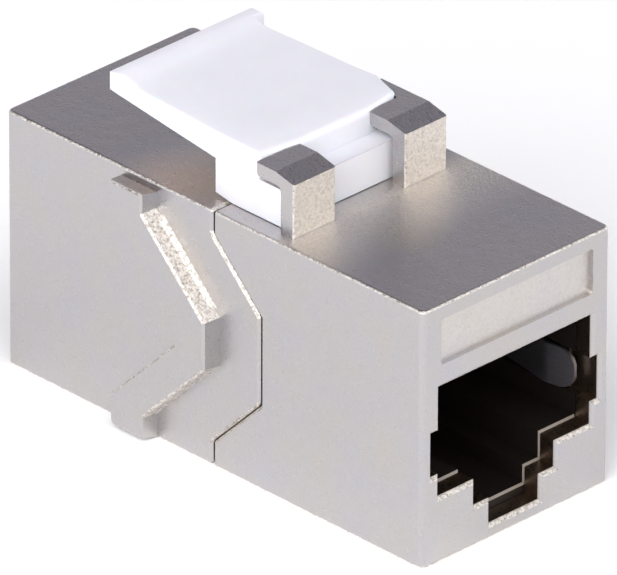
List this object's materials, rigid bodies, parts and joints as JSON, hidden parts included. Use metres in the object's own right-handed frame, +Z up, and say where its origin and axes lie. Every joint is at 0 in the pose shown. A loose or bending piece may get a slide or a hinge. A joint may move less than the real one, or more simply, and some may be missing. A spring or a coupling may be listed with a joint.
{
  "type": "shielded ethernet keystone coupler",
  "caption": "Die-cast shielded keystone coupler with an ethernet port at each end, chevron side ribs and a sprung roof latch.",
  "frame": {"origin": "centre of the underside", "axes": "+Z up, +Y from the front port (the one under the label recess) to the rear port, +X to the right seen from the front port"},
  "size_m": [0.0168, 0.0332, 0.0208],
  "materials": {
    "nickel_plating": "satin nickel plating on die-cast zinc",
    "white_plastic": "moulded white plastic",
    "black_plastic": "moulded black plastic",
    "gold_contact": "gold plated spring wire",
    "spring_metal": "rolled spring sheet",
    "circuit_board": "solder resist on glass fibre laminate"
  },
  "bodies": {
    "housing": {"front_shell": "nickel_plating", "rear_shell": "nickel_plating", "front_jack_insert": "black_plastic", "rear_jack_insert": "black_plastic", "front_contact_carrier": "black_plastic", "rear_contact_carrier": "black_plastic", "circuit_board": "circuit_board", "front_contact_1": "gold_contact", "front_contact_2": "gold_contact", "front_contact_3": "gold_contact", "front_contact_4": "gold_contact", "front_contact_5": "gold_contact", "front_contact_6": "gold_contact", "front_contact_7": "gold_contact", "front_contact_8": "gold_contact", "rear_contact_1": "gold_contact", "rear_contact_2": "gold_contact", "rear_contact_3": "gold_contact", "rear_contact_4": "gold_contact", "rear_contact_5": "gold_contact", "rear_contact_6": "gold_contact", "rear_contact_7": "gold_contact", "rear_contact_8": "gold_contact", "front_shield_spring_a": "spring_metal", "front_shield_spring_b": "spring_metal", "rear_shield_spring_a": "spring_metal", "rear_shield_spring_b": "spring_metal"},
    "latch": {"latch": "white_plastic"}
  },
  "joints": [
    {"name": "latch_press", "type": "hinge", "parent": "housing", "child": "latch", "pos_m": [0, -0.00032, 0.0163], "axis": [1, 0, 0], "range_deg": [-6, 0], "stiffness_Nm_per_rad": 0.2, "springref_deg": 2.86}
  ]
}
